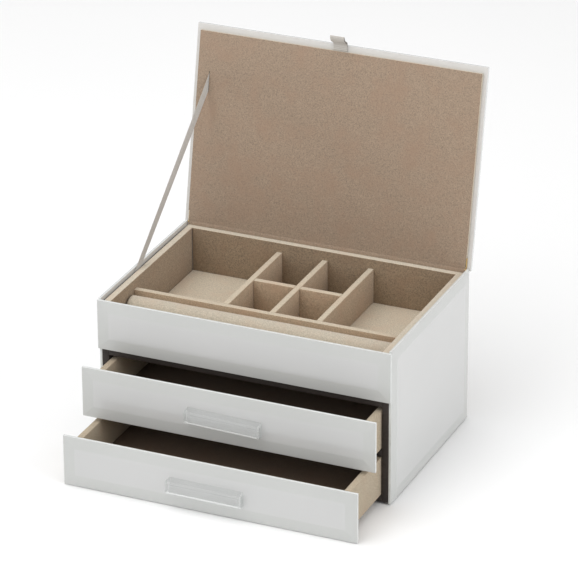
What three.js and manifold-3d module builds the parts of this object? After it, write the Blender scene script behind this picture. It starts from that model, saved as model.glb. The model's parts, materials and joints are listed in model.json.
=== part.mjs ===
// Jewellery chest: a case faced with bevelled white glass, with a lined tray under a hinged lid
// and two drawers below it. Millimetres, +Z up, the front faces -Y, and the origin is on the table
// under the middle of the case. It is drawn open: lid up on its stay ribbon, both drawers part out.

import * as THREE from "three";
import { mergeVertices } from "three/addons/utils/BufferGeometryUtils.js";
import Module from "manifold-3d";

const wasm = await Module();
wasm.setup();

// Overall
const caseWidth = 281; // over the two side glasses
const caseDepth = 186.6; // front glass face to the back
const caseHeight = 149.2; // table to the top edge of the side glasses
const lidOpenAngle = 101; // degrees, where the stay ribbon is taut
const upperPull = 33.3; // how far each drawer stands out
const lowerPull = 73.2;

// Glass
const glassThickness = 3.2;
const lidGlassThickness = 4;
const bevelWidth = 11;
const bevelDrop = 0.9; // how much thinner a plate is at its edge
const tableGap = 1.2; // side glasses clear of the table
const lidOverhang = 0.4; // past each side glass
const frontTopDrop = 1.2; // front glass below the side glasses, which lets the pull tab out
const drawerFrontHeight = 48;
const lowestFront = 0.6; // bottom of the lower drawer's glass
const drawerFrontGap = 0.9; // between the two drawer fronts
const fixedFrontGap = 3.1; // upper drawer front to the fixed front
const frontSideReveal = 0.5; // front glasses narrower than the case, each side

// Boards
const boardThickness = 6.2;
const baseThickness = 6;
const baseFeltThickness = 2.1;
const feltInset = 3.2;
const ribbonGroove = 1.4; // rebate outside the top of each side board
const grooveDepth = 12;
const frontBoardDrop = 2.8; // front wall of the tray below its side walls

// Tray
const linerThickness = 1.2;
const rimRecess = 3.25; // lined rim below the side glasses
const trayPadThickness = 3;
const dividerThickness = 5.4;
const dividerDrop = 9.05; // divider tops below the lined rim
const leftSpaceWidth = 84.9; // the large space on the left
const cellPitch = 45.1; // middle to middle of the three short dividers
const backCellDepth = 59.3;
const ringSlotDepth = 43.4;
const rollGap = 0.3;
const rollEndGap = 1.6;
const rollDrop = 1; // roll tops below the divider tops

// Drawers
const drawerBoxHeight = 36.6;
const drawerWall = 6;
const drawerBottomThickness = 3;
const drawerPadThickness = 2;
const drawerSideClearance = 0.7;
const drawerUnderClearance = 0.5;
const drawerOverClearance = 1.6;
const upperOverClearance = 4.3;
const drawerBackClearance = 3.4;

// Handles
const handleLength = 72;
const handleBaseHeight = 15.4;
const handleFaceHeight = 12;
const handleReach = 8;
const handleTopSlope = 1.1;
const handleChamfer = 1;
const handleRise = 4.6; // handle top above the middle of the drawer front
const handleOffset = -2; // the handles are glued on a little left of the middle
const upperHandleTilt = 1.5; // degrees out of level, as glued
const lowerHandleTilt = 0.4;

// Lid
const lidBoardThickness = 2.1;
const lidLiningThickness = 0.75;
const lidSideClearance = 0.5; // lid lining to the side glasses when it is shut
const lidFrontInset = 5.9;
const tabWidth = 13.5;
const tabThickness = 1;
const tabReach = 8;
const tabAnchor = 6.5;

// Hinge
const leafThickness = 0.8;
const leafWidth = 9.2;
const knuckleRadius = 1.2;
const knuckleCount = 15;
const knuckleGap = 0.3;
const hingeEndGap = 0.3; // hinge ends to the side glasses
const coverThickness = 0.4; // suede strip that hides the knuckles
const coverGap = 0.2;
const pinRadius = 0.5;
const pinClearance = 0.08;
const lidLift = 0.3; // shut lid glass over the side glasses
const axisInset = 0.9; // hinge axis in from the back of the shut lid
const axisDrop = 1.5; // hinge axis below the shut lid glass
const screwCount = 5;
const screwSpacing = 56;
const screwHeadRadius = 1.7;
const screwHeadHeight = 0.5;
const screwRadius = 0.8;
const screwLength = 5;
const screwClearance = 0.12;

// Stay ribbon
const ribbonWidth = 9.4;
const ribbonThickness = 0.6;
const ribbonLidReach = 134.2; // along the lid from its back edge
const ribbonCaseSetback = 77.1; // from the front glass face
const ribbonLidInset = 15.1; // in from the side glass face, where it meets the lid
const slitMargin = 0.6;

// Fits
const glueLine = 0.1; // between pieces that are glued face to face
const seatGap = 0.3; // front glass to the front edges of the case

// Stations worked out from the above
const frontY = -caseDepth / 2;
const backY = caseDepth / 2;
const frontGlassBackY = frontY + glassThickness;
const carcassFrontY = frontGlassBackY + seatGap;
const backBoardOuterY = backY - leafThickness - glueLine;
const backBoardInnerY = backBoardOuterY - boardThickness;
const boardBackY = backBoardInnerY - glueLine;
const trayBackY = boardBackY - linerThickness;
const trayFrontY = carcassFrontY + boardThickness + glueLine + linerThickness;

const glassOuterX = caseWidth / 2;
const glassInnerX = glassOuterX - glassThickness;
const sideBoardOuterX = glassInnerX - glueLine;
const sideBoardInnerX = sideBoardOuterX - boardThickness;
const grooveInnerX = sideBoardOuterX - ribbonGroove;
const linerOuterX = sideBoardInnerX - glueLine;
const trayX = linerOuterX - linerThickness;
const innerBoardX = sideBoardInnerX - glueLine;

const boardBottomZ = baseFeltThickness + glueLine;
const baseTopZ = boardBottomZ + baseThickness;
const lowerBoxZ = baseTopZ + drawerUnderClearance;
const shelfZ = lowerBoxZ + drawerBoxHeight + drawerOverClearance;
const shelfTopZ = shelfZ + boardThickness;
const upperBoxZ = shelfTopZ + drawerUnderClearance;
const trayBoardZ = upperBoxZ + drawerBoxHeight + upperOverClearance;
const trayBoardTopZ = trayBoardZ + boardThickness;
const trayPadZ = trayBoardTopZ + glueLine;
const trayFloorZ = trayPadZ + trayPadThickness;
const rimZ = caseHeight - rimRecess;
const boardTopZ = rimZ - linerThickness - glueLine;
const frontRimZ = rimZ - frontBoardDrop;
const dividerZ = trayFloorZ + glueLine;
const dividerTopZ = rimZ - dividerDrop;

const lowerFrontZ = lowestFront;
const upperFrontZ = lowerFrontZ + drawerFrontHeight + drawerFrontGap;
const fixedFrontZ = upperFrontZ + drawerFrontHeight + fixedFrontGap;
const fixedFrontTopZ = caseHeight - frontTopDrop;
const frontGlassWidth = caseWidth - 2 * frontSideReveal;

const lidUnderZ = caseHeight + lidLift;
const hingeY = backY - axisInset;
const hingeZ = lidUnderZ - axisDrop;
const lidLiningX = glassInnerX - lidSideClearance;
const lidLiningFrontY = frontY + lidFrontInset;
const lidLiningBackY = hingeY - knuckleRadius - knuckleGap;
const lidBoardTopZ = lidUnderZ - glueLine;
const lidBoardZ = lidBoardTopZ - lidBoardThickness;
const lidLiningZ = lidBoardZ - glueLine - lidLiningThickness;
const hingeHalfLength = glassInnerX - hingeEndGap;

// Finishes
const finish = (color, roughness, metalness = 0) =>
  new THREE.MeshStandardMaterial({ color, roughness, metalness });
const whiteGlass = finish("#dcdddc", 0.08);
const clearGlass = finish("#c6c8c6", 0.05);
const darkBoard = finish("#2c2522", 0.7);
const whiteBoard = finish("#d8d4cc", 0.6);
const suede = finish("#b8a58c", 0.95);
const feltBlack = finish("#26221f", 1);
const brass = finish("#b08a4a", 0.35, 1);
const ribbonCloth = finish("#b6b2ac", 0.6);

// Geometry helpers

function slab([x0, x1], [y0, y1], [z0, z1]) {
  const box = new THREE.BoxGeometry(x1 - x0, y1 - y0, z1 - z0);
  return box.translate((x0 + x1) / 2, (y0 + y1) / 2, (z0 + z1) / 2);
}

const axisX = new THREE.Vector3(1, 0, 0);
const axisY = new THREE.Vector3(0, 1, 0);
const axisZ = new THREE.Vector3(0, 0, 1);
const yzxBasis = new THREE.Matrix4().makeBasis(axisY, axisZ, axisX);
const xzyBasis = new THREE.Matrix4().makeBasis(axisX, axisZ, axisY.clone().negate());

const shapeOf = (points) => new THREE.Shape(points.map(([a, b]) => new THREE.Vector2(a, b)));

// A section drawn in Y and Z, run from x0 to x1.
function alongX(section, x0, x1) {
  const shape = Array.isArray(section) ? shapeOf(section) : section;
  const prism = new THREE.ExtrudeGeometry(shape, {
    depth: x1 - x0,
    bevelEnabled: false,
    curveSegments: 14,
  });
  return prism.applyMatrix4(yzxBasis).translate(x0, 0, 0);
}

// A section drawn in X and Z, run from y0 to y1.
function alongY(points, y0, y1) {
  const prism = new THREE.ExtrudeGeometry(shapeOf(points), { depth: y1 - y0, bevelEnabled: false });
  return prism.applyMatrix4(xzyBasis).translate(0, y1, 0);
}

function rod(radius, x0, x1, y, z, segments = 20) {
  const bar = new THREE.CylinderGeometry(radius, radius, x1 - x0, segments);
  return bar.rotateZ(Math.PI / 2).translate((x0 + x1) / 2, y, z);
}

function toSolid(geometry) {
  const bare = geometry.index ? geometry.toNonIndexed() : geometry.clone();
  bare.deleteAttribute("normal");
  bare.deleteAttribute("uv");
  const merged = mergeVertices(bare, 1e-4);
  const mesh = new wasm.Mesh({
    numProp: 3,
    vertProperties: new Float32Array(merged.attributes.position.array),
    triVerts: new Uint32Array(merged.index.array),
  });
  return new wasm.Manifold(mesh);
}

function toGeometry(solid) {
  const mesh = solid.getMesh();
  const geometry = new THREE.BufferGeometry();
  geometry.setAttribute("position", new THREE.BufferAttribute(mesh.vertProperties, 3));
  geometry.setIndex(new THREE.BufferAttribute(mesh.triVerts, 1));
  geometry.computeVertexNormals();
  return geometry;
}

function cut(geometry, cutters) {
  let solid = toSolid(geometry);
  for (const cutter of cutters) solid = solid.subtract(toSolid(cutter));
  return toGeometry(solid);
}

function joined(geometries) {
  let solid = toSolid(geometries[0]);
  for (const geometry of geometries.slice(1)) solid = solid.add(toSolid(geometry));
  return toGeometry(solid);
}

function piece(name, geometry, material) {
  const mesh = new THREE.Mesh(geometry, material);
  mesh.name = name;
  return mesh;
}

// A glass plate in its own frame: width along X, height along Y, back face at Z 0, and the outer
// face at Z thickness with a shallow bevel along all four edges.
function bevelledPlate(width, height, thickness) {
  const plate = slab([-width / 2, width / 2], [-height / 2, height / 2], [0, thickness]);
  const slope = bevelDrop / bevelWidth;
  const wedge = (halfSpan, length) => {
    const edge = halfSpan;
    const section = [
      [edge + 1, thickness - bevelDrop - slope],
      [edge + 1, thickness + slope],
      [edge - bevelWidth - 1, thickness + slope],
    ];
    return alongY(section, -length / 2 - 1, length / 2 + 1);
  };
  const endWedge = wedge(height / 2, width);
  return cut(plate, [
    wedge(width / 2, height),
    wedge(width / 2, height).rotateZ(Math.PI),
    endWedge.clone().rotateZ(Math.PI / 2),
    endWedge.clone().rotateZ(-Math.PI / 2),
  ]);
}

// A plate that faces the front, its outer face at y, between z0 and z1.
function frontPlate(name, y, z0, z1) {
  const plate = piece(name, bevelledPlate(frontGlassWidth, z1 - z0, glassThickness), whiteGlass);
  plate.rotation.x = Math.PI / 2;
  plate.position.set(0, y + glassThickness, (z0 + z1) / 2);
  return plate;
}

// The case

function sideGlass(name, side) {
  const depth = backY - carcassFrontY;
  const height = caseHeight - tableGap;
  const plate = piece(name, bevelledPlate(depth, height, glassThickness), whiteGlass);
  plate.rotation.set(Math.PI / 2, 0, (side * Math.PI) / 2, "ZYX");
  plate.position.set(side * glassInnerX, (carcassFrontY + backY) / 2, (tableGap + caseHeight) / 2);
  return plate;
}

// A side board is rebated outside its top, which leaves the groove that takes the stay ribbon.
function sideBoard(name, side) {
  const shoulderZ = rimZ - grooveDepth;
  const outline = [
    [side * sideBoardInnerX, boardBottomZ],
    [side * sideBoardOuterX, boardBottomZ],
    [side * sideBoardOuterX, shoulderZ],
    [side * grooveInnerX, shoulderZ],
    [side * grooveInnerX, boardTopZ],
    [side * sideBoardInnerX, boardTopZ],
  ];
  return piece(name, alongY(outline, carcassFrontY, boardBackY), darkBoard);
}

const screwZ = hingeZ - knuckleRadius - knuckleGap - leafWidth / 2;
const screwStations = Array.from(
  { length: screwCount },
  (_, i) => (i - (screwCount - 1) / 2) * screwSpacing,
);

function screwHole(x, radius, y0, y1) {
  const bar = new THREE.CylinderGeometry(radius, radius, y1 - y0, 16);
  return bar.translate(x, (y0 + y1) / 2, screwZ);
}

function backBoard() {
  const span = [-sideBoardOuterX, sideBoardOuterX];
  const board = slab(span, [backBoardInnerY, backBoardOuterY], [boardBottomZ, boardTopZ]);
  const floorY = backBoardOuterY - screwLength;
  const pilots = screwStations.map((x) =>
    screwHole(x, screwRadius + screwClearance, floorY, backBoardOuterY + 1),
  );
  return piece("back_board", cut(board, pilots), whiteBoard);
}

function carcass() {
  const acrossInside = [-innerBoardX, innerBoardX];
  const depthInside = [carcassFrontY, boardBackY];
  const feltX = sideBoardOuterX - feltInset;
  const felt = slab(
    [-feltX, feltX],
    [carcassFrontY + feltInset, backBoardOuterY - feltInset],
    [0, baseFeltThickness],
  );
  const level = (name, z, thickness) =>
    piece(name, slab(acrossInside, depthInside, [z, z + thickness]), darkBoard);
  const frontSpan = [-trayX + glueLine, trayX - glueLine];
  const frontBoardY = [carcassFrontY, carcassFrontY + boardThickness];
  const frontBoardZ = [trayBoardTopZ + glueLine, frontRimZ - linerThickness - glueLine];
  return [
    piece("base_felt", felt, feltBlack),
    level("base_board", boardBottomZ, baseThickness),
    level("drawer_shelf", shelfZ, boardThickness),
    level("tray_floor_board", trayBoardZ, boardThickness),
    piece("front_board", slab(frontSpan, frontBoardY, frontBoardZ), darkBoard),
    sideBoard("left_side_board", -1),
    sideBoard("right_side_board", 1),
    backBoard(),
    frontPlate("front_glass", frontY, fixedFrontZ, fixedFrontTopZ),
    sideGlass("left_side_glass", -1),
    sideGlass("right_side_glass", 1),
  ];
}

// The lined tray

// A liner stands inside its board and turns over the top of it.
function sideLiner(name, side) {
  const outline = [
    [side * trayX, trayPadZ],
    [side * linerOuterX, trayPadZ],
    [side * linerOuterX, boardTopZ + glueLine],
    [side * grooveInnerX, boardTopZ + glueLine],
    [side * grooveInnerX, rimZ],
    [side * trayX, rimZ],
  ];
  return piece(name, alongY(outline, carcassFrontY, trayBackY - glueLine), suede);
}

function backLiner() {
  const wallX = trayX - glueLine;
  const wall = slab([-wallX, wallX], [trayBackY, boardBackY], [trayPadZ, rimZ]);
  const capBackY = backBoardOuterY - glueLine;
  const cap = slab(
    [-grooveInnerX, grooveInnerX],
    [trayBackY, capBackY],
    [boardTopZ + glueLine, rimZ],
  );
  return piece("back_liner", joined([wall, cap]), suede);
}

function frontLiner() {
  const wallX = trayX - glueLine;
  const capZ = frontRimZ - linerThickness;
  const section = [
    [trayFrontY, trayPadZ],
    [trayFrontY, frontRimZ],
    [carcassFrontY, frontRimZ],
    [carcassFrontY, capZ],
    [trayFrontY - linerThickness, capZ],
    [trayFrontY - linerThickness, trayPadZ],
  ];
  return piece("front_liner", alongX(section, -wallX, wallX), suede);
}

const longDividerY = trayFrontY + ringSlotDepth;
const longDividerBackY = longDividerY + dividerThickness;
const crossDividerBackY = trayBackY - backCellDepth;
const crossDividerY = crossDividerBackY - dividerThickness;
const leftDividerX = -trayX + leftSpaceWidth + dividerThickness / 2;
const shortDividerX = [0, 1, 2].map((i) => leftDividerX + i * cellPitch);
const lapZ = (dividerZ + dividerTopZ) / 2;
const halfDivider = dividerThickness / 2;

function shortDivider(name, x) {
  const spanY = [longDividerBackY + glueLine, trayBackY - glueLine];
  const board = slab([x - halfDivider, x + halfDivider], spanY, [dividerZ, dividerTopZ]);
  return piece(name, board, suede);
}

// The middle short divider and the cross divider are halved into each other.
function centreDivider() {
  const x = shortDividerX[1];
  const y0 = longDividerBackY + glueLine;
  const y1 = trayBackY - glueLine;
  const section = [
    [y0, dividerZ],
    [crossDividerY - glueLine, dividerZ],
    [crossDividerY - glueLine, lapZ + glueLine],
    [crossDividerBackY + glueLine, lapZ + glueLine],
    [crossDividerBackY + glueLine, dividerZ],
    [y1, dividerZ],
    [y1, dividerTopZ],
    [y0, dividerTopZ],
  ];
  return piece("centre_divider", alongX(section, x - halfDivider, x + halfDivider), suede);
}

function crossDivider() {
  const x0 = shortDividerX[0] + halfDivider + glueLine;
  const x1 = shortDividerX[2] - halfDivider - glueLine;
  const notch = halfDivider + glueLine;
  const outline = [
    [x0, dividerZ],
    [x1, dividerZ],
    [x1, dividerTopZ],
    [shortDividerX[1] + notch, dividerTopZ],
    [shortDividerX[1] + notch, lapZ],
    [shortDividerX[1] - notch, lapZ],
    [shortDividerX[1] - notch, dividerTopZ],
    [x0, dividerTopZ],
  ];
  return piece("cross_divider", alongY(outline, crossDividerY, crossDividerBackY), suede);
}

// A ring roll is an upright strip of foam with a half-round top.
function ringRoll(name, y0, y1) {
  const radius = (y1 - y0) / 2;
  const topZ = dividerTopZ - rollDrop;
  const shape = new THREE.Shape();
  shape.moveTo(y0, dividerZ);
  shape.lineTo(y1, dividerZ);
  shape.lineTo(y1, topZ - radius);
  shape.absarc((y0 + y1) / 2, topZ - radius, radius, 0, Math.PI);
  shape.closePath();
  return piece(name, alongX(shape, -trayX + rollEndGap, trayX - rollEndGap), suede);
}

function tray() {
  const padX = trayX - glueLine;
  const pad = slab(
    [-padX, padX],
    [trayFrontY + glueLine, trayBackY - glueLine],
    [trayPadZ, trayFloorZ],
  );
  const longDivider = slab(
    [-padX, padX],
    [longDividerY, longDividerBackY],
    [dividerZ, dividerTopZ],
  );
  const rollWidth = (ringSlotDepth - 3 * rollGap) / 2;
  const frontRollY = trayFrontY + rollGap;
  const rearRollY = frontRollY + rollWidth + rollGap;
  return [
    piece("tray_floor_pad", pad, suede),
    sideLiner("left_liner", -1),
    sideLiner("right_liner", 1),
    backLiner(),
    frontLiner(),
    piece("long_divider", longDivider, suede),
    shortDivider("left_divider", shortDividerX[0]),
    centreDivider(),
    shortDivider("right_divider", shortDividerX[2]),
    crossDivider(),
    ringRoll("front_ring_roll", frontRollY, frontRollY + rollWidth),
    ringRoll("rear_ring_roll", rearRollY, rearRollY + rollWidth),
  ];
}

// The hinge: knuckles take turns along the axis, the first and last on the case leaf.

const knuckleLength = (2 * hingeHalfLength) / knuckleCount;

function knuckleSpans(first) {
  const spans = [];
  for (let i = first; i < knuckleCount; i += 2) {
    const x0 = -hingeHalfLength + i * knuckleLength;
    spans.push([x0 + knuckleGap / 2, x0 + knuckleLength - knuckleGap / 2]);
  }
  return spans;
}

const bore = () =>
  rod(pinRadius + pinClearance, -hingeHalfLength - 1, hingeHalfLength + 1, hingeY, hingeZ);

function caseLeaf() {
  const outerY = backY;
  const innerY = backY - leafThickness;
  const topZ = hingeZ - knuckleRadius - knuckleGap;
  const ends = [-hingeHalfLength, hingeHalfLength];
  const parts = [slab(ends, [innerY, outerY], [topZ - leafWidth, topZ])];
  for (const [x0, x1] of knuckleSpans(0)) {
    parts.push(slab([x0, x1], [innerY, outerY], [topZ - 1, hingeZ]));
    parts.push(rod(knuckleRadius, x0, x1, hingeY, hingeZ));
  }
  const holes = screwStations.map((x) =>
    screwHole(x, screwRadius + screwClearance, innerY - 1, outerY + 1),
  );
  return piece("hinge_case_leaf", cut(joined(parts), [bore(), ...holes]), brass);
}

function lidLeaf() {
  const topZ = hingeZ + knuckleRadius;
  const bottomZ = topZ - leafThickness;
  const backEdgeY = lidLiningBackY;
  const ends = [-hingeHalfLength, hingeHalfLength];
  const parts = [slab(ends, [backEdgeY - leafWidth, backEdgeY], [bottomZ, topZ])];
  for (const [x0, x1] of knuckleSpans(1)) {
    parts.push(slab([x0, x1], [backEdgeY - 1, hingeY], [bottomZ, topZ]));
    parts.push(rod(knuckleRadius, x0, x1, hingeY, hingeZ));
  }
  return piece("hinge_lid_leaf", cut(joined(parts), [bore()]), brass);
}

function hingeScrew(name, x) {
  const profile = [
    [0, -screwLength + 0.3],
    [screwRadius, -screwLength + 0.9],
    [screwRadius, glueLine],
    [screwHeadRadius, glueLine],
    [screwHeadRadius, glueLine + screwHeadHeight / 2],
    [screwRadius, glueLine + screwHeadHeight],
    [0, glueLine + screwHeadHeight],
  ].map(([r, y]) => new THREE.Vector2(r, y));
  const screw = piece(name, new THREE.LatheGeometry(profile, 16), brass);
  screw.position.set(x, backY, screwZ);
  return screw;
}

// The lid, drawn shut and then turned open about the hinge axis.

function lidGlass() {
  const width = caseWidth + 2 * lidOverhang;
  const plate = piece("lid_glass", bevelledPlate(width, caseDepth, lidGlassThickness), whiteGlass);
  plate.position.set(0, 0, lidUnderZ);
  return plate;
}

const tabZ = lidUnderZ - 2 * glueLine - tabThickness;
const tabPocket = (frontEdgeY) =>
  slab(
    [-tabWidth / 2 - glueLine, tabWidth / 2 + glueLine],
    [frontEdgeY - 1, lidLiningFrontY + tabAnchor + glueLine],
    [tabZ - glueLine, lidUnderZ + 1],
  );

const boardInset = lidLiningThickness + glueLine;

function lidBoard() {
  const x = lidLiningX - boardInset;
  const y0 = lidLiningFrontY + boardInset;
  const y1 = lidLiningBackY - boardInset;
  const leafRebate = slab(
    [-x - 1, x + 1],
    [lidLiningBackY - leafWidth - 0.3, y1 + 1],
    [hingeZ + knuckleRadius - leafThickness - glueLine, lidUnderZ + 1],
  );
  const board = slab([-x, x], [y0, y1], [lidBoardZ, lidBoardTopZ]);
  return piece("lid_board", cut(board, [leafRebate, tabPocket(y0)]), darkBoard);
}

// The lid lining is a shallow pan of suede over the board, open towards the glass.
function lidLining() {
  const outer = slab(
    [-lidLiningX, lidLiningX],
    [lidLiningFrontY, lidLiningBackY],
    [lidLiningZ, lidBoardTopZ],
  );
  const insideX = lidLiningX - lidLiningThickness;
  const inside = slab(
    [-insideX, insideX],
    [lidLiningFrontY + lidLiningThickness, lidLiningBackY - lidLiningThickness],
    [lidLiningZ + lidLiningThickness, lidBoardTopZ + 1],
  );
  const leafOpening = slab(
    [-lidLiningX - 1, lidLiningX + 1],
    [lidLiningBackY - leafWidth - 0.3, lidLiningBackY + 1],
    [hingeZ + knuckleRadius - leafThickness - glueLine, lidBoardTopZ + 1],
  );
  const corner = (side) => {
    const span = [side * (insideX - glueLine), side * (lidLiningX + 1)].sort((a, b) => a - b);
    const reach = [lidLiningBackY - leafWidth - 0.3, lidLiningBackY + 1];
    return slab(span, reach, [lidLiningZ - 1, lidBoardTopZ + 1]);
  };
  const slitY = backY - ribbonLidReach;
  const halfSlit = ribbonWidth + slitMargin;
  const slitX = -glassOuterX + ribbonLidInset;
  const slit = slab(
    [slitX - ribbonThickness - slitMargin, slitX + ribbonThickness + slitMargin],
    [slitY - halfSlit, slitY + halfSlit],
    [lidLiningZ - 1, lidLiningZ + lidLiningThickness + 1],
  );
  const corners = [corner(-1), corner(1)];
  const cutters = [inside, leafOpening, tabPocket(lidLiningFrontY), slit, ...corners];
  return piece("lid_lining", cut(outer, cutters), suede);
}

function pullTab() {
  const strip = slab(
    [-tabWidth / 2, tabWidth / 2],
    [frontY - tabReach, lidLiningFrontY + tabAnchor],
    [tabZ, tabZ + tabThickness],
  );
  return piece("lid_pull_tab", strip, ribbonCloth);
}

// Where a point of the shut lid stands when the lid is open.
function opened(y, z) {
  const angle = THREE.MathUtils.degToRad(lidOpenAngle);
  const dy = y - hingeY;
  const dz = z - hingeZ;
  return [
    hingeY + dy * Math.cos(angle) + dz * Math.sin(angle),
    hingeZ - dy * Math.sin(angle) + dz * Math.cos(angle),
  ];
}

// The stay ribbon runs flat and taut from the groove in the left rim to a slit in the lid lining.
function stayRibbon() {
  const lidFaceZ = lidLiningZ + lidLiningThickness / 2;
  const lidY = backY - ribbonLidReach;
  const [midY, midZ] = opened(lidY, lidFaceZ);
  const caseY = frontY + ribbonCaseSetback;
  const caseZ = rimZ;
  const run = new THREE.Vector2(midY - caseY, midZ - caseZ);
  const lean = run.angle();
  const lidLean = lean - THREE.MathUtils.degToRad(180 - lidOpenAngle);
  const halfAtLid = ribbonWidth / 2 / Math.abs(Math.sin(lidLean));
  const halfAtCase = ribbonWidth / 2 / Math.sin(lean);
  const tuck = grooveDepth / 3;
  const slide = tuck / Math.tan(lean);
  const outline = [
    [caseY - slide + halfAtCase, caseZ - tuck],
    opened(lidY + halfAtLid, lidFaceZ),
    opened(lidY - halfAtLid, lidFaceZ),
    [caseY - slide - halfAtCase, caseZ - tuck],
  ];
  const half = ribbonThickness / 2;
  const strip = alongX(outline, -half, half);
  const grooveMidX = -(grooveInnerX + glassInnerX) / 2;
  const lidX = -glassOuterX + ribbonLidInset;
  const sideLean = (lidX - grooveMidX) / (midZ - caseZ);
  const place = strip.attributes.position;
  for (let i = 0; i < place.count; i++) {
    place.setX(i, place.getX(i) + grooveMidX + sideLean * (place.getZ(i) - caseZ));
  }
  return piece("lid_stay_ribbon", strip, ribbonCloth);
}

// A strip of suede from the back rim to the lower edge of the open lid's lining. It hides the
// knuckles, and folds into the gap between them and the rim when the lid shuts.
function hingeCover() {
  const [topY, topZ] = opened(lidLiningBackY, lidLiningZ);
  const lean = Math.tan(THREE.MathUtils.degToRad(lidOpenAngle - 90));
  const bottomZ = rimZ + glueLine;
  const bottomY = topY - (topZ - bottomZ) * lean;
  const section = [
    [bottomY - coverGap, bottomZ],
    [bottomY - coverGap + coverThickness, bottomZ],
    [topY - coverGap + coverThickness, topZ - glueLine],
    [topY - coverGap, topZ - glueLine],
  ];
  const halfLength = lidLiningX - lidLiningThickness - glueLine;
  return piece("hinge_cover", alongX(section, -halfLength, halfLength), suede);
}

function lid() {
  const turned = new THREE.Group();
  turned.position.set(0, hingeY, hingeZ);
  turned.rotation.x = -THREE.MathUtils.degToRad(lidOpenAngle);
  const shut = new THREE.Group();
  shut.position.set(0, -hingeY, -hingeZ);
  shut.add(lidGlass(), lidBoard(), lidLining(), pullTab(), lidLeaf());
  turned.add(shut);
  return turned;
}

// A drawer, drawn shut and then slid out by its pull.

function handle(name, middleZ, tilt) {
  const topZ = middleZ + handleRise;
  const baseZ = topZ - handleBaseHeight;
  const faceTopZ = topZ - handleTopSlope;
  const faceZ = faceTopZ - handleFaceHeight;
  const rootY = frontY - glueLine;
  const faceY = rootY - handleReach;
  const section = [
    [rootY, baseZ],
    [rootY, topZ],
    [faceY + handleChamfer, faceTopZ],
    [faceY, faceTopZ - handleChamfer],
    [faceY, faceZ + handleChamfer],
    [faceY + handleChamfer, faceZ],
  ];
  const bar = new THREE.ExtrudeGeometry(shapeOf(section), {
    depth: handleLength - 2 * handleChamfer,
    bevelThickness: handleChamfer,
    bevelSize: handleChamfer,
    bevelOffset: -handleChamfer,
    bevelSegments: 1,
  });
  bar.applyMatrix4(yzxBasis).translate(handleChamfer - handleLength / 2, 0, -middleZ);
  const glued = piece(name, bar, clearGlass);
  glued.position.set(handleOffset, 0, middleZ);
  glued.rotation.y = THREE.MathUtils.degToRad(tilt);
  return glued;
}

function drawer(prefix, boxZ, frontZ, pull, handleTilt) {
  const outerX = sideBoardInnerX - drawerSideClearance;
  const innerX = outerX - drawerWall;
  const boxTopZ = boxZ + drawerBoxHeight;
  const frontBoardY = frontGlassBackY + glueLine;
  const sideY = frontBoardY + drawerWall + glueLine;
  const boxBackY = boardBackY - drawerBackClearance;
  const backInnerY = boxBackY - drawerWall;
  const between = [-innerX + glueLine, innerX - glueLine];
  const floorSpanY = [sideY, backInnerY - glueLine];
  const bottomTopZ = boxZ + drawerBottomThickness;
  const padZ = bottomTopZ + glueLine;
  const walls = [boxZ, boxTopZ];
  const frontBoard = slab([-outerX, outerX], [frontBoardY, frontBoardY + drawerWall], walls);
  const leftSide = slab([-outerX, -innerX], [sideY, boxBackY], walls);
  const rightSide = slab([innerX, outerX], [sideY, boxBackY], walls);
  const back = slab(between, [backInnerY, boxBackY], walls);
  const bottom = slab(between, floorSpanY, [boxZ, bottomTopZ]);
  const pad = slab(between, floorSpanY, [padZ, padZ + drawerPadThickness]);
  const group = new THREE.Group();
  group.position.y = -pull;
  group.add(
    frontPlate(`${prefix}_drawer_glass`, frontY, frontZ, frontZ + drawerFrontHeight),
    piece(`${prefix}_drawer_front_board`, frontBoard, suede),
    piece(`${prefix}_drawer_left_side`, leftSide, suede),
    piece(`${prefix}_drawer_right_side`, rightSide, suede),
    piece(`${prefix}_drawer_back`, back, suede),
    piece(`${prefix}_drawer_bottom`, bottom, suede),
    piece(`${prefix}_drawer_pad`, pad, suede),
    handle(`${prefix}_drawer_handle`, frontZ + drawerFrontHeight / 2, handleTilt),
  );
  return group;
}

// The whole chest

const chest = new THREE.Group();
chest.add(...carcass(), ...tray(), caseLeaf());
chest.add(piece("hinge_pin", rod(pinRadius, -hingeHalfLength, hingeHalfLength, hingeY, hingeZ), brass));
screwStations.forEach((x, i) => chest.add(hingeScrew(`hinge_screw_${i + 1}`, x)));
chest.add(lid(), hingeCover(), stayRibbon());
chest.add(drawer("upper", upperBoxZ, upperFrontZ, upperPull, upperHandleTilt));
chest.add(drawer("lower", lowerBoxZ, lowerFrontZ, lowerPull, lowerHandleTilt));

export default chest;
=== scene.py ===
import json
import math
import bmesh
import bpy
from mathutils import Matrix, Vector, noise


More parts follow.
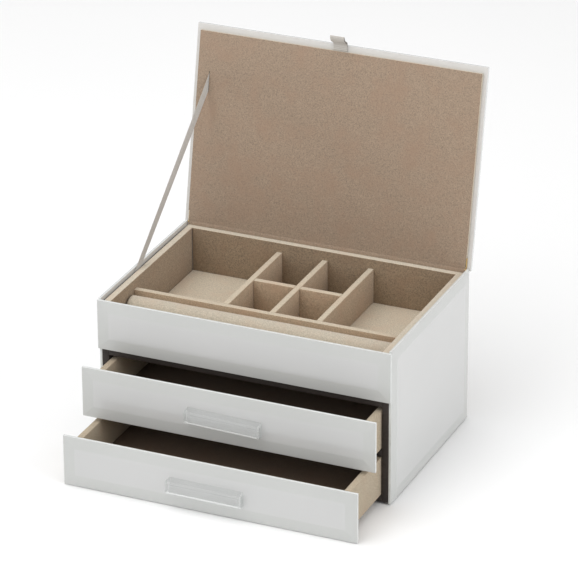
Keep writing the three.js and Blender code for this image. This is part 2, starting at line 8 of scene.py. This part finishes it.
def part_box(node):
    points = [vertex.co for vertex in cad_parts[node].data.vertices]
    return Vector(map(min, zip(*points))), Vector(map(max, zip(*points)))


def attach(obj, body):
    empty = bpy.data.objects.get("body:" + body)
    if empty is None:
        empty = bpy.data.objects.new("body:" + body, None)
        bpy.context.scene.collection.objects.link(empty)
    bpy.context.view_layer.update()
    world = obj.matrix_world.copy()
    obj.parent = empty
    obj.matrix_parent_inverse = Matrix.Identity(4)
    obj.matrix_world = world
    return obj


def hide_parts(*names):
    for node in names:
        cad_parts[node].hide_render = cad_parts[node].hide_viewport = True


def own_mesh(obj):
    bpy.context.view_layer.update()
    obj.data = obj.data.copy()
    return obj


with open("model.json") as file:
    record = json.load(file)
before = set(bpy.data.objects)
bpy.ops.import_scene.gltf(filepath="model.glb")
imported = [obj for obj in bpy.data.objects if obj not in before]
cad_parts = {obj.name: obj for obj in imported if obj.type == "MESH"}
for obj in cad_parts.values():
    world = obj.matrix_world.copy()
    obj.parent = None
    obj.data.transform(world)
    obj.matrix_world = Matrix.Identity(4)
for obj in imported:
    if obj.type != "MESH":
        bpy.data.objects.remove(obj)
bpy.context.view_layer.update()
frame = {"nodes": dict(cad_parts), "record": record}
nodes = frame["nodes"]
mm = 0.001
scene = bpy.context.scene


cameraSet = {
    "azimuth": 23.761,  # degrees, to the right of the front
    "elevation": 25.244,
    "roll": -0.31,
    "distance": 3.5755,
    "aim": (0, 0, 0.0746),  # then slid in the view plane
    "slide": (0.00403, 0.0599),
    "lens": 245.8,
}


def viewAxes(azimuth, elevation):
    a, e = math.radians(azimuth), math.radians(elevation)
    back = Vector((math.sin(a) * math.cos(e), -math.cos(a) * math.cos(e), math.sin(e)))
    right = Vector((math.cos(a), math.sin(a), 0))
    return right, back.cross(right), back


def addCamera(s):
    right, up, back = viewAxes(s["azimuth"], s["elevation"])
    aim = Vector(s["aim"]) + right * s["slide"][0] + up * s["slide"][1]
    roll = math.radians(s["roll"])
    x = right * math.cos(roll) + up * math.sin(roll)
    y = up * math.cos(roll) - right * math.sin(roll)
    place = Matrix((x, y, back)).transposed().to_4x4()
    place.translation = aim + back * s["distance"]
    data = bpy.data.cameras.new("camera")
    data.lens = s["lens"]
    data.clip_start, data.clip_end = 0.1, 60
    camera = bpy.data.objects.new("camera", data)
    camera.matrix_world = place
    scene.collection.objects.link(camera)
    scene.camera = camera


addCamera(cameraSet)

studio = {
    "world": 0.58,
    "lightAim": (0, 0, 0.12),
    "floorSize": 14,
    "floorTones": ((0.90, 0.90, 0.90), (0.92, 0.92, 0.92)),
    "top": {"at": (-0.5, -0.5, 2.6), "size": 3.0, "watts": 50},
    "front": {"at": (-1.2, -3.2, 1.5), "size": 2.2, "watts": 20},
    "side": {"at": (3.0, -0.6, 1.4), "size": 2.0, "watts": 33},
}


def addLight(name, s, target):
    data = bpy.data.lights.new(name, "AREA")
    data.shape = "SQUARE"
    data.size, data.energy = s["size"], s["watts"]
    lamp = bpy.data.objects.new(name, data)
    aim = Vector(target) - Vector(s["at"])
    lamp.matrix_world = Matrix.Translation(s["at"]) @ aim.to_track_quat("-Z", "Y").to_matrix().to_4x4()
    scene.collection.objects.link(lamp)


for lightName in ("top", "front", "side"):
    addLight(lightName + "Light", studio[lightName], studio["lightAim"])

world = bpy.data.worlds.new("studio")
world.use_nodes = True
world.node_tree.nodes["Background"].inputs["Color"].default_value = (1, 1, 1, 1)
world.node_tree.nodes["Background"].inputs["Strength"].default_value = studio["world"]
scene.world = world
scene.view_settings.view_transform = "Standard"
print("studio ready")


# one socket, which adds and multiplies as a number does
class Wire:
    def __init__(self, recipe, socket):
        self.recipe, self.socket = recipe, socket

    def math(self, operation, first, second):
        return self.recipe.node("ShaderNodeMath", {"operation": operation}, {0: first, 1: second})

    def __add__(self, other):
        return self.math("ADD", self, other)

    def __radd__(self, other):
        return self.math("ADD", other, self)

    def __mul__(self, other):
        return self.math("MULTIPLY", self, other)

    def __rmul__(self, other):
        return self.math("MULTIPLY", other, self)


class Recipe:
    def __init__(self, name):
        self.material = bpy.data.materials.new(name)
        self.material.use_nodes = True
        self.tree = self.material.node_tree
        self.tree.nodes.clear()

    def node(self, kind, settings=None, sockets=None, out=0):
        made = self.tree.nodes.new(kind)
        for key, value in (settings or {}).items():
            setattr(made, key, value)
        for key, value in (sockets or {}).items():
            self.plug(made.inputs[key], value)
        return Wire(self, made.outputs[out]) if made.outputs else made

    def plug(self, socket, value):
        if isinstance(value, Wire):
            self.tree.links.new(value.socket, socket)
        elif isinstance(value, tuple) and len(value) == 3 and socket.type == "RGBA":
            socket.default_value = (*value, 1)
        else:
            socket.default_value = value

    def place(self, scale=(1, 1, 1), turn=(0, 0, 0)):
        where = self.node("ShaderNodeTexCoord", out="Object")
        return self.node("ShaderNodeMapping", None, {"Vector": where, "Scale": scale, "Rotation": turn})

    def noise(self, scale, detail, rough=0.55, at=None):
        at = at or self.place()
        return self.node("ShaderNodeTexNoise", {"noise_dimensions": "3D"},
                         {"Vector": at, "Scale": scale, "Detail": detail, "Roughness": rough})

    def mix(self, amount, first, second):
        return self.node("ShaderNodeMix", {"data_type": "RGBA"}, {0: amount, 6: first, 7: second}, out=2)

    def clamp(self, value, low, high, fromLow, fromHigh):
        return self.node("ShaderNodeMapRange", {"clamp": True},
                         {"Value": value, "From Min": fromLow, "From Max": fromHigh,
                          "To Min": low, "To Max": high})

    def bump(self, height, strength, distance):
        return self.node("ShaderNodeBump", None,
                         {"Height": height, "Strength": strength, "Distance": distance})

    def finish(self, sockets):
        shader = self.node("ShaderNodeBsdfPrincipled", None, sockets)
        self.node("ShaderNodeOutputMaterial", None, {"Surface": shader})
        return self.material


def shade(colour, amount):
    return tuple(part * amount for part in colour)


# the dye given for each place is the fabric's colour with that place's painted light or shade folded in
def suede(name, dyeAndLight, spread, sheen=0.2):
    r = Recipe(name)
    nap = r.noise(820, 4.0, 0.7)  # tufts about a millimetre across
    fibre = r.noise(2300, 2.0, 0.6)
    brushed = r.noise(42, 5.0, 0.65, r.place((1, 1, 1), (0.3, 0.2, 0.6)))
    tone = nap * 0.6 + fibre * 0.4
    colour = r.mix(r.clamp(tone, 0, 1, 0.38, 0.62), shade(dyeAndLight, 1 - spread), shade(dyeAndLight, 1 + spread))
    blush = (dyeAndLight[0] * 1.04, dyeAndLight[1] * 0.93, dyeAndLight[2] * 0.89)
    colour = r.mix(r.clamp(brushed, 0, 0.6, 0.46, 0.70), colour, blush)
    return r.finish({
        "Base Color": colour, "Roughness": 0.96, "Specular IOR Level": 0.15,
        "Sheen Weight": sheen, "Sheen Roughness": 0.6,
        "Normal": r.bump(tone, 0.5, 0.0006),
    })


def paintedGlass(name, paint, deep, gloss=0.75):
    r = Recipe(name)
    wash = r.noise(9, 2.0, 0.5)
    smear = r.noise(34, 4.0, 0.6, r.place((1, 1, 3), (0, 0, 0.4)))
    colour = r.mix(r.clamp(wash, 0, 1, 0.3, 0.7), paint, deep)
    return r.finish({
        "Base Color": colour, "Roughness": r.clamp(smear, 0.16, 0.24, 0.35, 0.7),
        "Specular IOR Level": 0.3, "IOR": 1.5,
        "Coat Weight": gloss, "Coat Roughness": 0.015, "Coat IOR": 1.52,
        "Normal": r.bump(wash, 0.05, 0.0004),
    })


def polishedEdge(name, colour, tint):
    r = Recipe(name)
    grind = r.noise(240, 3.0, 0.6)
    return r.finish({
        "Base Color": r.mix(r.clamp(grind, 0, 1, 0.35, 0.7), colour, tint),
        "Roughness": r.clamp(grind, 0.08, 0.2, 0.35, 0.7),
        "Coat Weight": 1.0, "Coat Roughness": 0.03,
    })


def clearAcrylic(name, tint, body):
    r = Recipe(name)
    swirl = r.noise(90, 3.0, 0.6, r.place((0.3, 1, 1)))
    return r.finish({
        "Base Color": r.mix(r.clamp(swirl, 0, 1, 0.3, 0.7), tint, shade(tint, 0.93)),
        "Roughness": r.clamp(swirl, 0.03, 0.09, 0.3, 0.7), "IOR": 1.49, "Alpha": body,
        "Coat Weight": 1.0, "Coat Roughness": 0.02,
    })


def wrappedPaper(name, light, dark, rough=0.62):
    r = Recipe(name)
    grain = r.noise(160, 5.0, 0.65, r.place((1, 3.5, 3.5)))
    pores = r.noise(900, 3.0, 0.6)
    tone = grain * 0.7 + pores * 0.3
    return r.finish({
        "Base Color": r.mix(r.clamp(tone, 0, 1, 0.35, 0.68), dark, light),
        "Roughness": r.clamp(pores, rough - 0.06, rough + 0.08, 0.3, 0.7),
        "Specular IOR Level": 0.35,
        "Normal": r.bump(pores, 0.25, 0.0002),
    })


def feltCloth(name, light, dark):
    r = Recipe(name)
    fluff = r.noise(700, 6.0, 0.75)
    return r.finish({
        "Base Color": r.mix(r.clamp(fluff, 0, 1, 0.35, 0.7), dark, light),
        "Roughness": 1.0, "Specular IOR Level": 0.05, "Sheen Weight": 0.3,
        "Normal": r.bump(fluff, 0.7, 0.0006),
    })


def brassMetal(name, bright, dull):
    r = Recipe(name)
    brushed = r.noise(180, 4.0, 0.6, r.place((1, 12, 12)))
    tarnish = r.noise(40, 4.0, 0.6)
    return r.finish({
        "Base Color": r.mix(r.clamp(tarnish, 0, 1, 0.45, 0.75), bright, dull),
        "Metallic": 1.0, "Roughness": r.clamp(brushed, 0.36, 0.54, 0.3, 0.7),
        "Normal": r.bump(brushed, 0.12, 0.0002),
    })


def ribbonWeave(name, light, dark, ribs):
    r = Recipe(name)
    where = r.node("ShaderNodeUVMap", {"uv_map": "weave"})
    ribbed = r.node("ShaderNodeTexWave", {"wave_type": "BANDS", "bands_direction": "X"},
                    {"Vector": where, "Scale": ribs, "Distortion": 0.6, "Detail": 1.0, "Detail Scale": 2.0},
                    out="Fac")
    thread = r.noise(1500, 2.0, 0.6)
    tone = ribbed * 0.6 + thread * 0.4
    return r.finish({
        "Base Color": r.mix(r.clamp(tone, 0, 1, 0.2, 0.8), dark, light),
        "Roughness": r.clamp(thread, 0.5, 0.7, 0.3, 0.7), "Sheen Weight": 0.2,
        "Normal": r.bump(tone, 0.5, 0.0002),
    })


finishes = {
    # one suede lines the whole box; these dyes are lit and shaded copies of it, darker as painted shade on
    # walls and drawer pads, lighter as painted light on floor, roll, rims and divider tops
    "lidSuede": suede("lidSuede", (0.312, 0.233, 0.168), 0.29),
    # tray walls: the suede darker and more saturated, as painted shade
    "traySuedeShaded": suede("traySuedeShaded", (0.295, 0.219, 0.144), 0.40),
    "dividerSuede": suede("dividerSuede", (0.418, 0.312, 0.210), 0.34),
    # tray floor: the suede lightened as painted light from above
    "floorSuedeLit": suede("floorSuedeLit", (0.565, 0.490, 0.377), 0.30),
    # ring rolls: the suede lightened as painted light on their rounded tops
    "rollSuedeLit": suede("rollSuedeLit", (0.470, 0.415, 0.330), 0.26),
    # rims and lining edges: the suede lightened as a painted highlight where tops and edges catch the light
    "rimSuedeLit": suede("rimSuedeLit", (0.520, 0.460, 0.365), 0.18),
    # divider tops: the suede lightened as painted light from above
    "edgeSuedeLit": suede("edgeSuedeLit", (0.500, 0.425, 0.318), 0.22),
    "boxSuede": suede("boxSuede", (0.412, 0.343, 0.252), 0.32, 0.12),
    # drawer pads: the suede darkened almost to black as painted shadow inside the drawers
    "padSuedeShadow": suede("padSuedeShadow", (0.182, 0.128, 0.088), 0.22, 0.08),
    "whiteGlass": paintedGlass("whiteGlass", (0.565, 0.565, 0.560), (0.545, 0.550, 0.545)),
    # bevel facets: the same paint a little darker, as painted shade of the refracting bevel
    "bevelGlassShaded": paintedGlass("bevelGlassShaded", (0.549, 0.556, 0.543), (0.527, 0.535, 0.522), 0.35),
    # band just inside the bevel: a painted reflection of the bevel, a little lighter than the paint
    "ringGlass": paintedGlass("ringGlass", (0.569, 0.570, 0.564), (0.549, 0.554, 0.548)),
    "lidInner": wrappedPaper("lidInner", (0.632, 0.618, 0.595), (0.598, 0.583, 0.560), 0.45),
    "glassEdge": polishedEdge("glassEdge", (0.690, 0.706, 0.696), (0.610, 0.632, 0.620)),
    "clearFace": clearAcrylic("clearFace", (0.66, 0.68, 0.67), 0.10),
    # the clear bar is painted face by face: top and ends darker as painted shade, lines and low faces
    # lighter as painted highlights
    "clearTopShaded": clearAcrylic("clearTopShaded", (0.40, 0.42, 0.41), 0.16),
    "clearLineHighlight": clearAcrylic("clearLineHighlight", (0.76, 0.78, 0.77), 0.34),
    "clearLowHighlight": clearAcrylic("clearLowHighlight", (0.86, 0.88, 0.87), 0.58),
    "clearEndShaded": clearAcrylic("clearEndShaded", (0.36, 0.39, 0.38), 0.32),
    "darkPaper": wrappedPaper("darkPaper", (0.045, 0.036, 0.032), (0.027, 0.021, 0.018)),
    "backPaper": wrappedPaper("backPaper", (0.56, 0.54, 0.50), (0.52, 0.50, 0.46)),
    "blackFelt": feltCloth("blackFelt", (0.030, 0.026, 0.024), (0.012, 0.010, 0.009)),
    "brass": brassMetal("brass", (0.78, 0.56, 0.26), (0.55, 0.37, 0.15)),
    "stayWeave": ribbonWeave("stayWeave", (0.64, 0.625, 0.600), (0.51, 0.495, 0.470), 150.0),
    "tabWeave": ribbonWeave("tabWeave", (0.575, 0.545, 0.505), (0.41, 0.385, 0.350), 12.0),
}
print("materials ready")


meshSet = {
    "weld": 0.002 * mm,
    "flatAngle": 0.5,  # degrees between two faces that are one
    "edgeAngle": 25,
    "smoothAngle": 35,
}


def meshPiece(shape, name, materials, smoothAngle=meshSet["smoothAngle"]):
    data = bpy.data.meshes.new(name)
    shape.to_mesh(data)
    shape.free()
    data.set_sharp_from_angle(angle=math.radians(smoothAngle))
    for face in data.polygons:
        face.use_smooth = True
    for key in materials:
        data.materials.append(finishes[key])
    made = bpy.data.objects.new(name, data)
    scene.collection.objects.link(made)
    return made


def settle(made, body, slotName, *replaced):
    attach(made, body)
    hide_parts(*replaced)


def shapeOfNode(node):
    shape = bmesh.new()
    shape.from_mesh(nodes[node].data)
    bmesh.ops.remove_doubles(shape, verts=shape.verts, dist=meshSet["weld"])
    bmesh.ops.dissolve_limit(shape, angle_limit=math.radians(meshSet["flatAngle"]),
                             use_dissolve_boundaries=False, verts=shape.verts, edges=shape.edges)
    return shape


def softenEdges(shape, radius, steps, overAngle=meshSet["edgeAngle"]):
    sharp = [e for e in shape.edges
             if len(e.link_faces) == 2 and e.calc_face_angle(0) > math.radians(overAngle)]
    bmesh.ops.bevel(shape, geom=sharp, offset=radius, offset_type="OFFSET", segments=steps, profile=0.5,
                    affect="EDGES", clamp_overlap=True, material=-1)


def sliceAcross(shape, low, high, axis, cuts):
    normal = Vector((0, 0, 0))
    normal[axis] = 1
    for i in range(1, cuts):
        at = low.copy()
        at[axis] = low[axis] + (high[axis] - low[axis]) * i / cuts
        bmesh.ops.bisect_plane(shape, geom=shape.verts[:] + shape.edges[:] + shape.faces[:],
                               plane_co=at, plane_no=normal)


behaviour = frame["record"]["behaviour"]
bodyOf = {node: body for body, members in behaviour["bodies"].items() for node in members}
lidHinge = next(joint for joint in behaviour["joints"] if joint["name"] == "lid_hinge")
hingeAt = Vector(lidHinge["pos_m"])
lidOpen = math.radians(lidHinge["range_deg"][1])
# from the shut lid to the open one
lidTurn = Matrix.Translation(hingeAt) @ Matrix.Rotation(-lidOpen, 4, "X") @ Matrix.Translation(-hingeAt)


glassSet = {
    "arris": 0.3 * mm,
    "steps": 2,
    "ring": 3.6 * mm,  # painted reflection: a band where the bevel is seen again in the paint
    "flatDot": 0.9995,  # how far a face looks the plate's way
    "faceDot": 0.8,
    "smoothAngle": 3,
    "finishes": ["whiteGlass", "glassEdge", "lidInner", "bevelGlassShaded", "ringGlass"],
}
plates = {
    "front_glass": (0, -1, 0),
    "left_side_glass": (-1, 0, 0),
    "right_side_glass": (1, 0, 0),
    "upper_drawer_glass": (0, -1, 0),
    "lower_drawer_glass": (0, -1, 0),
    "lid_glass": lidTurn.to_3x3() @ Vector((0, 0, 1)),
}


def plateFinish(across, s):
    if across > s["flatDot"]:
        return "whiteGlass"
    # bevel facets take a slightly darker glass as painted shade
    if across > s["faceDot"]:
        return "bevelGlassShaded"
    return "lidInner" if across < -s["faceDot"] else "glassEdge"


def glassPlate(node, outward, s):
    shape = shapeOfNode(node)
    out = Vector(outward)
    front = max(shape.faces, key=lambda face: face.normal.dot(out) * face.calc_area())
    ring = bmesh.ops.inset_region(shape, faces=[front], thickness=s["ring"])["faces"]
    for face in shape.faces:
        face.material_index = s["finishes"].index(plateFinish(face.normal.dot(out), s))
    # the inset band gets the painted reflection of the bevel
    for face in ring:
        face.material_index = s["finishes"].index("ringGlass")
    softenEdges(shape, s["arris"], s["steps"])
    made = meshPiece(shape, node + "_plate", s["finishes"], s["smoothAngle"])
    settle(made, bodyOf[node], "white_glass", node)


for plateNode, plateOut in plates.items():
    glassPlate(plateNode, plateOut, glassSet)
print("glass plates made")


boards = {
    "dark": {
        "finish": "darkPaper", "top": "darkPaper", "radius": 0.25 * mm, "steps": 2, "slot": "dark_board",
        "nodes": ["base_board", "drawer_shelf", "tray_floor_board", "front_board", "lid_board"],
    },
    # side boards: the suede wrapped over their tops is real, its lighter tone is painted light
    "side": {
        "finish": "darkPaper", "top": "rimSuedeLit", "radius": 0.25 * mm, "steps": 2, "slot": "dark_board",
        "nodes": ["left_side_board", "right_side_board"],
    },
    "back": {
        "finish": "backPaper", "top": "backPaper", "radius": 0.3 * mm, "steps": 2, "slot": "white_board",
        "nodes": ["back_board"],
    },
    "felt": {
        "finish": "blackFelt", "top": "blackFelt", "radius": 0.5 * mm, "steps": 2, "slot": "felt",
        "nodes": ["base_felt"],
    },
    "liner": {
        # liner walls take the shaded suede copy, their tops the lighter painted-light copy
        "finish": "traySuedeShaded", "top": "rimSuedeLit", "radius": 0.55 * mm, "steps": 3, "slot": "suede",
        "nodes": ["left_liner", "right_liner", "back_liner", "front_liner"],
    },
    "divider": {
        # divider tops take a lighter copy of the suede as painted light
        "finish": "dividerSuede", "top": "edgeSuedeLit", "radius": 0.55 * mm, "steps": 3, "slot": "suede",
        "nodes": ["long_divider", "left_divider", "centre_divider", "right_divider", "cross_divider"],
    },
    "drawer": {
        "finish": "boxSuede", "top": "boxSuede", "radius": 0.6 * mm, "steps": 3, "slot": "suede",
        "nodes": [box + part for box in ("upper_drawer_", "lower_drawer_")
                  for part in ("front_board", "left_side", "right_side", "back", "bottom")],
    },
}
turnedDot = 0.6  # a face past this is a turned edge


def wrappedBoard(node, s):
    shape = shapeOfNode(node)
    softenEdges(shape, s["radius"], s["steps"])
    # upward faces take the top finish; for liners, side boards and dividers that is a lighter painted-light
    # copy of the suede
    for face in shape.faces:
        face.material_index = int(s["top"] != s["finish"] and face.normal.z > turnedDot)
    made = meshPiece(shape, node + "_wrapped", [s["finish"], s["top"]])
    settle(made, bodyOf[node], s["slot"], node)


for boardSet in boards.values():
    for boardNode in boardSet["nodes"]:
        wrappedBoard(boardNode, boardSet)
print("boards made")


padSet = {
    "cuts": 28,
    "radius": 0.5 * mm,
    "steps": 3,
    "fall": 0.35 * mm,
    "fallReach": 3 * mm,
    "ripple": 0.18 * mm,
    "rippleScale": 55,
    "smoothAngle": 60,
    "finishOf": {
        # the floor pad takes the lit suede copy, the drawer pads a dark painted-shadow copy
        "tray_floor_pad": "floorSuedeLit",
        "upper_drawer_pad": "padSuedeShadow",
        "lower_drawer_pad": "padSuedeShadow",
    },
}


def softBlock(node, s):
    low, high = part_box(node)
    size, middle = high - low, (low + high) / 2
    shape = bmesh.new()
    bmesh.ops.create_cube(shape, size=1, matrix=Matrix.Translation(middle) @ Matrix.Diagonal((*size, 1)))
    sliceAcross(shape, low, high, 0, s["cuts"])
    sliceAcross(shape, low, high, 1, s["cuts"])
    softenEdges(shape, s["radius"], s["steps"])
    for vert in shape.verts:
        if vert.co.z > middle.z:
            reach = min(vert.co.x - low.x, high.x - vert.co.x, vert.co.y - low.y, high.y - vert.co.y)
            vert.co.z -= s["fall"] * math.exp(-max(reach, 0) / s["fallReach"])
            vert.co.z -= s["ripple"] * (0.5 + 0.5 * noise.noise(vert.co * s["rippleScale"]))
    return shape


for padNode, padFinish in padSet["finishOf"].items():
    pad = meshPiece(softBlock(padNode, padSet), padNode + "_padded", [padFinish], padSet["smoothAngle"])
    settle(pad, bodyOf[padNode], "suede", padNode)


rollSet = {
    "cuts": 60,
    "endRadius": 2.2 * mm,
    "endSteps": 4,
    "endAngle": 60,  # only the rims of the two ends are this sharp
    "flatFoot": 2 * mm,
    "ripple": 0.22 * mm,
    "rippleScale": 38,
    "smoothAngle": 60,
}


def ringRoll(node, s):
    low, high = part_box(node)
    shape = shapeOfNode(node)
    softenEdges(shape, s["endRadius"], s["endSteps"], s["endAngle"])
    sliceAcross(shape, low, high, 0, s["cuts"])
    for vert in shape.verts:
        if vert.co.z > low.z + s["flatFoot"]:
            vert.co.z -= s["ripple"] * (0.5 + 0.5 * noise.noise(vert.co * s["rippleScale"]))
    roll = meshPiece(shape, node + "_padded", ["rollSuedeLit"], s["smoothAngle"])
    settle(roll, bodyOf[node], "suede", node)


for rollNode in ("front_ring_roll", "rear_ring_roll"):
    ringRoll(rollNode, rollSet)
print("pads and rolls made")


stay = {
    "foot": Vector((-136.88, -20.19, 141.95)) * mm,
    "head": Vector((-125.4, 116.68, 279.07)) * mm,
    "footHalf": Vector((0, 6.64, 0)) * mm,
    "headHalf": Vector((0, -1.6, -8.27)) * mm,
    "cup": 0.35 * mm,
    "thickness": 0.5 * mm,
    "steps": 90,
}
liningSet = {
    "radius": 0.4 * mm,
    "steps": 3,
    "slitReach": (1.6 * mm, 14 * mm),
    "slitHalf": 0.34 * mm,  # the cloth closes on the ribbon
}
lining = shapeOfNode("lid_lining")
slitAt = lidTurn.inverted() @ stay["head"]
for vert in lining.verts:
    flat = lidTurn.inverted() @ vert.co
    off = flat - slitAt
    if abs(off.x) < liningSet["slitReach"][0] and abs(off.y) < liningSet["slitReach"][1]:
        flat.x = slitAt.x + math.copysign(liningSet["slitHalf"], off.x)
        vert.co = lidTurn @ flat
bmesh.ops.recalc_face_normals(lining, faces=lining.faces)
softenEdges(lining, liningSet["radius"], liningSet["steps"])
liningInward = lidTurn.to_3x3() @ Vector((0, 0, -1))
# the lining's edge faces get the lighter suede as a painted highlight
for face in lining.faces:
    face.material_index = int(abs(face.normal.dot(liningInward)) <= turnedDot)
lidLining = meshPiece(lining, "lid_lining_stretched", ["lidSuede", "rimSuedeLit"])
settle(lidLining, "lid", "suede", "lid_lining")

coverSet = {"radius": 0.12 * mm, "steps": 2}
cover = shapeOfNode("hinge_cover")
softenEdges(cover, coverSet["radius"], coverSet["steps"])
hingeCover = meshPiece(cover, "hinge_cover_cloth", ["lidSuede"])
settle(hingeCover, "case", "suede", "hinge_cover")
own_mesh(hingeCover)


stripSet = {"across": 6, "smoothAngle": 50}


def ribbonStrip(path, steps, thickness, name, finish):
    shape = bmesh.new()
    layer = shape.loops.layers.uv.new("weave")
    bmesh.ops.create_grid(shape, x_segments=steps, y_segments=stripSet["across"], size=0.5)
    for face in shape.faces:
        for loop in face.loops:
            loop[layer].uv = (loop.vert.co.x + 0.5, loop.vert.co.y + 0.5)
    for vert in shape.verts:
        vert.co = path(vert.co.x + 0.5, vert.co.y * 2)
    bmesh.ops.solidify(shape, geom=shape.faces[:], thickness=thickness)
    bmesh.ops.recalc_face_normals(shape, faces=shape.faces)
    return meshPiece(shape, name, [finish], stripSet["smoothAngle"])


def stayPath(t, side):
    middle = stay["foot"].lerp(stay["head"], t)
    half = stay["footHalf"].lerp(stay["headHalf"], t)
    cup = Vector((stay["cup"], 0, 0)) * (1 - side * side) * math.sin(math.pi * t)
    return middle + half * side + cup


stayRibbon = ribbonStrip(stayPath, stay["steps"], stay["thickness"], "stay_ribbon", "stayWeave")
settle(stayRibbon, "case", "ribbon", "lid_stay_ribbon")
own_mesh(stayRibbon)


tab = {
    "half": 6.7 * mm,
    "lean": 0.9 * mm,
    "leanFrom": -88 * mm,
    "leanOver": 14 * mm,
    "thickness": 0.35 * mm,
    "steps": 90,
    # out over the rim, back round the fold and in again, as the shut lid has it
    "run": [
        (-85.0, 148.3), (-89.0, 148.35), (-92.5, 148.3), (-94.7, 147.2), (-95.9, 144.6), (-97.3, 141.9),
        (-99.7, 140.0), (-101.8, 139.7), (-102.3, 140.6), (-101.3, 141.4), (-99.4, 142.3), (-97.6, 144.6),
        (-96.5, 147.5), (-94.2, 148.95), (-90.0, 149.1), (-85.0, 149.1),
    ],
}


# a smooth curve through every point of the run, which is in millimetres
def alongRun(run, t):
    spot = t * (len(run) - 1)
    i = min(int(spot), len(run) - 2)
    f = spot - i
    a, b, c, d = (Vector(run[max(0, min(k, len(run) - 1))]) for k in (i - 1, i, i + 1, i + 2))
    square, cube = a * 2 - b * 5 + c * 4 - d, b * 3 - a - c * 3 + d
    return (b * 2 + (c - a) * f + square * f ** 2 + cube * f ** 3) * 0.5 * mm


def tabPath(t, side):
    y, z = alongRun(tab["run"], t)
    past = max(0, (tab["leanFrom"] - y) / tab["leanOver"])
    return lidTurn @ Vector((side * tab["half"] - tab["lean"] * past, y, z))


pullTab = ribbonStrip(tabPath, tab["steps"], tab["thickness"], "pull_tab_loop", "tabWeave")
settle(pullTab, "lid", "ribbon", "lid_pull_tab")
print("ribbons made")


barSet = {
    "arris": 0.15 * mm,
    "steps": 2,
    "lineIn": 1.7 * mm,
    "lineWidth": 0.4 * mm,
    "endDot": 0.95,
    "topDot": 0.9,
    "slantDot": 0.5,
    "smoothAngle": 20,
    "finishes": ["clearFace", "clearTopShaded", "clearLineHighlight", "clearEndShaded", "clearLowHighlight"],
}


# picks each bar face's tone by direction: painted shade on top and ends, painted highlights on slanted and
# low faces
def barFinish(n, s):
    if abs(n.x) > s["endDot"]:
        return "clearEndShaded"
    if n.z > s["topDot"]:
        return "clearTopShaded"
    if n.z < -s["slantDot"]:
        return "clearLowHighlight"
    return "clearLineHighlight" if abs(n.x) > s["slantDot"] else "clearFace"


def clearHandle(node, s):
    bar = shapeOfNode(node)
    front = min(bar.faces, key=lambda face: face.normal.y * face.calc_area())
    border = bmesh.ops.inset_region(bar, faces=[front], thickness=s["lineIn"])["faces"]
    ring = bmesh.ops.inset_region(bar, faces=[front], thickness=s["lineWidth"])["faces"]
    for face in bar.faces:
        face.material_index = s["finishes"].index(barFinish(face.normal, s))
    # the inset line and the lowest border band are painted highlights
    for face in ring:
        face.material_index = s["finishes"].index("clearLineHighlight")
    lowHighlightBorder = min(border, key=lambda face: face.calc_center_median().z)
    lowHighlightBorder.material_index = s["finishes"].index("clearLowHighlight")
    softenEdges(bar, s["arris"], s["steps"])
    made = meshPiece(bar, node + "_bar", s["finishes"], s["smoothAngle"])
    settle(made, bodyOf[node], "clear_glass", node)


clearHandle("upper_drawer_handle", barSet)
clearHandle("lower_drawer_handle", barSet)


metalSet = {"arris": 0.08 * mm, "steps": 2, "edgeAngle": 50, "smoothAngle": 40}
for metalNode in [n for n in nodes if n.startswith("hinge_") and n != "hinge_cover"]:
    metal = shapeOfNode(metalNode)
    softenEdges(metal, metalSet["arris"], metalSet["steps"], metalSet["edgeAngle"])
    metalPiece = meshPiece(metal, metalNode + "_brass", ["brass"], metalSet["smoothAngle"])
    settle(metalPiece, bodyOf[metalNode], "brass", metalNode)
print("handles and hinge made")


floorShape = bmesh.new()
bmesh.ops.create_grid(floorShape, x_segments=1, y_segments=1, size=studio["floorSize"] / 2)
floorRecipe = Recipe("paleFloor")
finishes["paleFloor"] = floorRecipe.finish({
    "Base Color": floorRecipe.mix(floorRecipe.noise(3, 2.0), *studio["floorTones"]), "Roughness": 0.8,
})
meshPiece(floorShape, "floor", ["paleFloor"])
